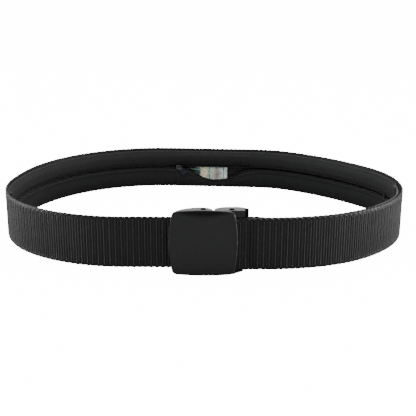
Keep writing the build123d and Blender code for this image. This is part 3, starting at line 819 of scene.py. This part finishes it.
def coil_path(height, phase):
    """Points of a flattened helix along the route; height(s) is its middle."""
    turns = (ZIP_END - ZIP_START) / COIL_PITCH
    points = []
    for i in range(int(turns * STEPS_PER_TURN)):
        s = ZIP_START + i / STEPS_PER_TURN * COIL_PITCH
        angle = 2 * pi * (i / STEPS_PER_TURN + phase)
        z = height(s) + (COIL_WIDTH / 2 - WIRE_R) * cos(angle)
        points.append(strap.at(s, COIL_OFF + COIL_REACH * sin(angle), z))
    return points


def coil(name, height, phase, nodes):
    path = coil_path(height, phase)
    points = tube_points(path, WIRE_R, WIRE_SIDES)
    helix = mesh_object(name, points, ring_faces(len(path), WIRE_SIDES), COIL)
    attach(helix, "belt")
    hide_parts(*nodes)


coil("coil_upper", upper_coil_height, 0.0, ["zipper_coil_upper"])
coil("coil_lower", lower_coil_height, 0.5, ["zipper_coil_lower", "zipper_coil_lip"])

# ---------------------------------------------------------------- sewing
STITCH = 2.3
STITCH_PITCH = 3.0
STITCH_SINK = 0.22                 # a stitch's ends go this far into the cloth
THREAD_R = 0.16
ZIP_THREAD_R = 0.32                # the zipper is sewn in with thick thread
THREAD_SIDES = 5
SEAM_SHARE = 0.1                   # places of the rows, as shares of the way from seam to edge
ZIP_ROW_SHARE = 0.84


def on_strip(section, share):
    """A place on a lining strip's front, at a share of the way from its seam to its edge."""
    def place(s):
        front = section(s)[:STRIP_ROWS + 1]
        t = share * STRIP_ROWS
        i = min(int(t), STRIP_ROWS - 1)
        (o0, z0), (o1, z1) = front[i], front[i + 1]
        return o0 + (o1 - o0) * (t - i) + THREAD_R / 2, z0 + (z1 - z0) * (t - i)
    return place


def stitch_row(name, place, node, material, radius):
    """A row of short raised stitches along the pocket; place(s) gives (offset, height)."""
    points, faces = [], []
    for i in range(int((POCKET_END - POCKET_START) / STITCH_PITCH)):
        start = POCKET_START + i * STITCH_PITCH
        path = []
        for t in (0.0, 0.25, 0.75, 1.0):
            offset, z = place(start + STITCH * t)
            sink = STITCH_SINK if t in (0.0, 1.0) else 0.0
            path.append(strap.at(start + STITCH * t, offset - sink, z))
        first = len(points)
        points += tube_points(path, radius, THREAD_SIDES)
        faces += ring_faces(len(path), THREAD_SIDES, first)
    row = mesh_object(name, points, faces, material)
    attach(row, "belt")
    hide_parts(node)


for side, section in (("upper", upper_section), ("lower", lower_section)):
    seam = on_strip(section, SEAM_SHARE)
    beside_zip = on_strip(section, ZIP_ROW_SHARE)
    stitch_row(f"stitches_seam_{side}", seam, f"seam_stitching_{side}", THREAD, THREAD_R)
    stitch_row(
        f"stitches_zip_{side}", beside_zip, f"zipper_stitching_{side}", BLACK_THREAD, ZIP_THREAD_R
    )


# ---------------------------------------------------------------- CAD pieces that show as they are
def paint(node, material):
    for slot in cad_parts[node].material_slots:
        slot.material = material


for node, material in (
    ("buckle_cover", BUCKLE),
    ("buckle_frame", BUCKLE),
    # the pins carry the painted shade of a hole
    ("pivot_pin", PIN_SHADE),
    ("rear_pin", PIN_SHADE),
    ("fold_stitching", THREAD),
    ("zipper_slider", SLIDER),
    ("zipper_pull", PULL),
    ("zipper_bottom_stop", SLIDER),
    ("zipper_top_stops", SLIDER),
    ("pocket_end_left", LINING),
    ("pocket_end_right", LINING),
):
    paint(node, material)

# ---------------------------------------------------------------- painted shade: dark rims round the pins' ends, for the shade of their recesses
WALL_INSET = 0.6                   # the ears and walls stand this far below the plate's top
RIM_R = 2.1
RIM_PROUD = 0.05
RIM_SUNK = 0.2
RIM_SIDES = 32


def pin_rim(name, node, body):
    """A thin ring let into the wall round a pin's upper end, painted black as the shade of a recess.
    """
    low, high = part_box(node)
    middle = (low + high) / 2
    inner = (high.x - low.x) / 2
    top = plate_high.z - WALL_INSET * MM
    bottom, crown = top - RIM_SUNK * MM, top + RIM_PROUD * MM
    section = [(inner, bottom), (RIM_R * MM, bottom), (RIM_R * MM, crown), (inner, crown)]
    points, faces = [], []
    for i in range(RIM_SIDES):
        turned = 2 * pi * i / RIM_SIDES
        points += [(middle.x + r * cos(turned), middle.y + r * sin(turned), z) for r, z in section]
        here, following = 4 * i, 4 * ((i + 1) % RIM_SIDES)
        for j in range(4):
            k = (j + 1) % 4
            faces.append((here + j, here + k, following + k, following + j))
    rim = mesh_object(name, points, faces, PIN_SHADE, smooth=False)
    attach(rim, body)


pin_rim("pivot_rim", "pivot_pin", "cover")
pin_rim("rear_rim", "rear_pin", "belt")

# ---------------------------------------------------------------- the mouth's closed front
# Gathered behind the slider at rest, these two strips stand for the lip and the coils that it closes.
GATHERED = (SLIDER_X - 2.6, SLIDER_X + 0.2)
GATHERED_STEP = 0.2
CLOSED_OFF = 4.7
CLOTH_PROFILE = [                  # offsets from the strap's middle, and heights
    (2.5, 5.9), (4.3, 8.3), (4.76, 10.5), (4.76, 22.75),
    (4.66, 22.75), (4.66, 10.5), (4.2, 8.4), (2.4, 6.0),
]
TEETH_PROFILE = [(4.76, 22.85), (4.76, 25.55), (4.64, 25.55), (4.64, 22.85)]
gathered_steps = [along(x) for x in steps(*GATHERED, GATHERED_STEP)]
ends = [strap.at(along(x), CLOSED_OFF, ZIP_HEIGHT) for x in GATHERED]
for name, profile, material, slot in (
    ("closed_lip", CLOTH_PROFILE, LINING, "lining"),
    ("closed_teeth", TEETH_PROFILE, COIL, "coil"),
):
    drawn = sweep(name, gathered_steps, lambda s, outline=profile: outline, material)
    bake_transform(drawn)

# ---------------------------------------------------------------- folded banknotes
NOTE_BANDS = [                     # upright bands of print: share of the note's width, and colour
    (0.0, (0.60, 0.52, 0.46)),
    (0.10, (0.86, 0.78, 0.56)),
    (0.20, (0.92, 0.86, 0.58)),
    (0.27, (0.80, 0.84, 0.62)),
    (0.33, (0.42, 0.60, 0.52)),
    (0.42, (0.72, 0.86, 0.74)),
    (0.52, (0.80, 0.86, 0.74)),
    (0.62, (0.54, 0.56, 0.50)),
    (0.74, (0.72, 0.84, 0.78)),
    (0.90, (0.86, 0.96, 0.98)),
]
NOTE_LINES = [                     # fine upright lines: place, half width and depth of colour
    (0.365, 0.018, 0.55), (0.455, 0.014, 0.35), (0.55, 0.014, 0.3),
    (0.78, 0.014, 0.4), (0.865, 0.02, 0.65),
]
LINE_GREEN = (0.05, 0.09, 0.075)
BLOT = (0.36, 0.24, 0.23)
BLOT_PLACE = (0.63, 0.5, 0)
BLOT_SIZE = (0.17, 0.48, 1)
DARK_GREEN = (0.035, 0.09, 0.07)
MID_GREEN = (0.10, 0.21, 0.165)
PALE_GREEN = (0.34, 0.46, 0.42)
PINK = (0.22, 0.19, 0.19)
NOTE_COLUMNS = 24
NOTE_ROWS = 8
NOTE_THICK = 0.16
FOLD_ROWS = 10
FOLD_THICK = 0.15
FOLD_SAG = 0.7                     # how far a leaf's upper edge sags
FOLD_BULGE = 0.35                  # and how far it stands out, with a crease along its middle
FOLD_CREASE = 0.5


def blot_share(nodes, links, place):
    """A soft upright oval."""
    blot = nodes.new("ShaderNodeTexGradient")
    blot.gradient_type = "SPHERICAL"
    mapping = nodes.new("ShaderNodeMapping")
    mapping.vector_type = "TEXTURE"
    mapping.inputs["Location"].default_value = BLOT_PLACE
    mapping.inputs["Scale"].default_value = BLOT_SIZE
    links.new(place.outputs["UV"], mapping.inputs["Vector"])
    links.new(mapping.outputs["Vector"], blot.inputs["Vector"])
    return blot.outputs["Fac"]


def note_material():
    """Abstract print: upright bands of colour, fine upright lines, a soft blot and mottling."""
    material, nodes, links, shader = new_material("note_print", (0.6, 0.68, 0.62), 0.7)
    place = nodes.new("ShaderNodeTexCoord")
    spot = nodes.new("ShaderNodeSeparateXYZ")
    links.new(place.outputs["UV"], spot.inputs["Vector"])
    bands = nodes.new("ShaderNodeValToRGB")
    fill_ramp(bands.color_ramp, NOTE_BANDS)
    links.new(spot.outputs["X"], bands.inputs["Fac"])
    color = bands.outputs["Color"]
    for position, half, depth in NOTE_LINES:
        line = near_value(nodes, links, spot.outputs["X"], position, half)
        line = value_math(nodes, links, "MULTIPLY", line, depth)
        color = mixed(nodes, links, line, color, LINE_GREEN)
    color = mixed(nodes, links, blot_share(nodes, links, place), color, BLOT)
    spots = map_range(nodes, links, noise_texture(nodes, links, 750, 3), 0.35, 0.6, 0.62, 0.0)
    color = mixed(nodes, links, spots, color, LINE_GREEN)
    links.new(color, shader.inputs["Base Color"])
    return material


NOTE = note_material()


def sheet_faces(columns, rows, rim):
    """Faces of a front and a back grid of points, and the edge that joins them round the rim."""
    layer = (columns + 1) * (rows + 1)
    faces = []
    for i in range(columns):
        for j in range(rows):
            a = i * (rows + 1) + j
            b = a + rows + 1
            faces.append((a, b, b + 1, a + 1))
            faces.append((a + layer, a + 1 + layer, b + 1 + layer, b + layer))
    for a, b in zip(rim, rim[1:] + rim[:1]):
        faces.append((a, a + layer, b + layer, b))
    return faces


def grid_rim(columns, rows):
    """The points round a grid's edge, in order."""
    rim = [i * (rows + 1) for i in range(columns + 1)]
    rim += [columns * (rows + 1) + j for j in range(1, rows + 1)]
    rim += [i * (rows + 1) + rows for i in range(columns - 1, -1, -1)]
    rim += list(range(rows - 1, 0, -1))
    return rim


def note_sheet(name, left, right, low, high, offset, wave, node):
    """A folded note standing in the pocket: a slightly wavy sheet, with a 0-1 map for its print."""
    columns, rows = NOTE_COLUMNS, NOTE_ROWS
    points = []
    for side in (0, 1):
        for i in range(columns + 1):
            x = left + (right - left) * i / columns
            for j in range(rows + 1):
                z = low + (high - low) * j / rows
                bend = wave * sin(2.6 * pi * i / columns) + 0.1 * sin(5.1 * i / columns + z / 4)
                points.append(strap.at(along(x), offset + bend + side * NOTE_THICK, z))
    faces = sheet_faces(columns, rows, grid_rim(columns, rows))
    sheet = mesh_object(name, points, faces, NOTE)
    layer = (columns + 1) * (rows + 1)
    uv = sheet.data.uv_layers.new(name="print")
    for loop in sheet.data.loops:
        vertex = loop.vertex_index % layer
        uv.data[loop.index].uv = (vertex // (rows + 1) / columns, vertex % (rows + 1) / rows)
    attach(sheet, "belt")
    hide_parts(node)


def note_fold(name, tip, upper, lower, offset, color, node):
    """A folded corner of a note: a leaf that widens from its tip to an edge, bent along its middle."""
    points = []
    for side in (0, 1):
        for i in range(FOLD_ROWS + 1):
            t = i / FOLD_ROWS
            for share in (0.0, 0.5, 1.0):
                end_z = upper[1] + (lower[1] - upper[1]) * share
                x = tip[0] + (upper[0] - tip[0]) * t
                z = tip[1] + (end_z - tip[1]) * t - FOLD_SAG * sin(pi * t) * (1 - share)
                bend = FOLD_BULGE * sin(pi * t) + FOLD_CREASE * (share == 0.5) * t
                points.append(strap.at(along(x), offset + bend + FOLD_THICK * side, z))
    material = new_material(name + "_print", color, 0.7)[0]
    faces = sheet_faces(FOLD_ROWS, 2, grid_rim(FOLD_ROWS, 2))
    leaf = mesh_object(name, points, faces, material)
    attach(leaf, "belt")
    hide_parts(node)


note_sheet("note_front", -5.0, 23.0, 8.6, 25.8, 2.3, 0.2, "banknote_3")
note_fold("note_fold_1", (-16.0, 23.8), (-4.0, 25.6), (-4.0, 23.9), 1.9, PALE_GREEN, "banknote_1")
note_fold("note_fold_2", (-17.5, 23.2), (-4.0, 23.6), (-4.0, 19.8), 2.1, MID_GREEN, "banknote_1")
note_fold("note_fold_3", (-12.0, 21.0), (-4.0, 19.9), (-4.0, 17.4), 2.2, DARK_GREEN, "banknote_2")
note_fold("note_fold_4", (-11.0, 20.0), (-4.0, 17.0), (-4.0, 15.9), 2.0, PALE_GREEN, "banknote_2")
note_fold("note_fold_5", (-9.5, 17.5), (-4.0, 14.6), (-4.0, 13.6), 2.0, PINK, "banknote_2")

# ---------------------------------------------------------------- floor and studio
FLOOR_DROP = 0.2
STUDIO_WHITE = 15.0                # extra brightness of the floor and backdrop as the camera sees them
WORLD_DARK = 0.10
WORLD_BRIGHT = 1.35
WORLD_TURN = (-0.55, 0.25)         # directions, along Y, between which the studio turns bright


def make_floor():
    mesh = bpy.data.meshes.new("floor")
    mesh.from_pydata([(-6, -3, 0), (6, -3, 0), (6, 8, 0), (-6, 8, 0)], [], [(0, 1, 2, 3)])
    obj = bpy.data.objects.new("floor", mesh)
    obj.location.z = -FLOOR_DROP * MM
    bpy.context.scene.collection.objects.link(obj)
    material, nodes, links, shader = new_material("floor_white", (0.35, 0.35, 0.35), 0.9)
    mesh.materials.append(material)
    seen = nodes.new("ShaderNodeLightPath").outputs["Is Camera Ray"]
    shader.inputs["Emission Color"].default_value = (1, 1, 1, 1)
    glow = value_math(nodes, links, "MULTIPLY", seen, STUDIO_WHITE)
    links.new(glow, shader.inputs["Emission Strength"])
    return obj


def make_world():
    """A studio that is bright behind and above the belt, and dark on the camera's side."""
    world = bpy.data.worlds.new("studio")
    bpy.context.scene.world = world
    world.use_nodes = True
    nodes = world.node_tree.nodes
    links = world.node_tree.links
    place = nodes.new("ShaderNodeTexCoord")
    spot = nodes.new("ShaderNodeSeparateXYZ")
    links.new(place.outputs["Generated"], spot.inputs["Vector"])
    sky = nodes.new("ShaderNodeMapRange")
    sky.interpolation_type = "SMOOTHSTEP"
    sky.inputs["From Min"].default_value = WORLD_TURN[0]
    sky.inputs["From Max"].default_value = WORLD_TURN[1]
    sky.inputs["To Min"].default_value = WORLD_DARK
    sky.inputs["To Max"].default_value = WORLD_BRIGHT
    links.new(spot.outputs["Y"], sky.inputs["Value"])
    seen = nodes.new("ShaderNodeLightPath").outputs["Is Camera Ray"]
    glow = value_math(nodes, links, "MULTIPLY", seen, STUDIO_WHITE)
    strength = value_math(nodes, links, "ADD", glow, sky.outputs["Result"])
    background = nodes["Background"]
    background.inputs["Color"].default_value = (1, 1, 1, 1)
    links.new(strength, background.inputs["Strength"])


def area_light(name, place, aim, size, power):
    """A rectangular light; places and sizes in metres."""
    light = bpy.data.lights.new(name, "AREA")
    light.shape = "RECTANGLE"
    light.size, light.size_y = size
    light.energy = power
    obj = bpy.data.objects.new(name, light)
    obj.location = place
    obj.rotation_euler = (Vector(aim) - Vector(place)).to_track_quat("-Z", "Y").to_euler()
    bpy.context.scene.collection.objects.link(obj)


floor_obj = make_floor()
make_world()
area_light("top_light", (0, 0.3, 1.3), (0, 0.1, 0), (2.0, 1.2), 30)
area_light("front_light", (0, -0.75, 1.0), (0, 0.12, 0.02), (0.8, 0.5), 10)
area_light("left_light", (-1.0, -0.12, 0.06), (0, -0.1, 0.03), (0.5, 0.12), 8)
area_light("right_light", (1.0, -0.12, 0.06), (0, -0.1, 0.03), (0.5, 0.12), 9)

# ---------------------------------------------------------------- camera
CAMERA_X = 3.4                     # right of the buckle's middle
CAMERA_BACK = 555.7                # in front of the plate
CAMERA_HEIGHT = WEB_HIGH + 177.6
PITCH = radians(16.81)
ROLL = 0.0043                      # in radians
LENS = 69.23
camera = bpy.data.cameras.new("camera")
camera.lens = LENS
camera.sensor_width = 36
camera_obj = bpy.data.objects.new("camera", camera)
place = Vector((BUCKLE_X + CAMERA_X, FRONT_Y - CAMERA_BACK, CAMERA_HEIGHT)) * MM
turn = Matrix.Rotation(pi / 2 - PITCH, 4, "X") @ Matrix.Rotation(ROLL, 4, "Z")
camera_obj.matrix_world = Matrix.Translation(place) @ turn
bpy.context.scene.collection.objects.link(camera_obj)
bpy.context.scene.camera = camera_obj
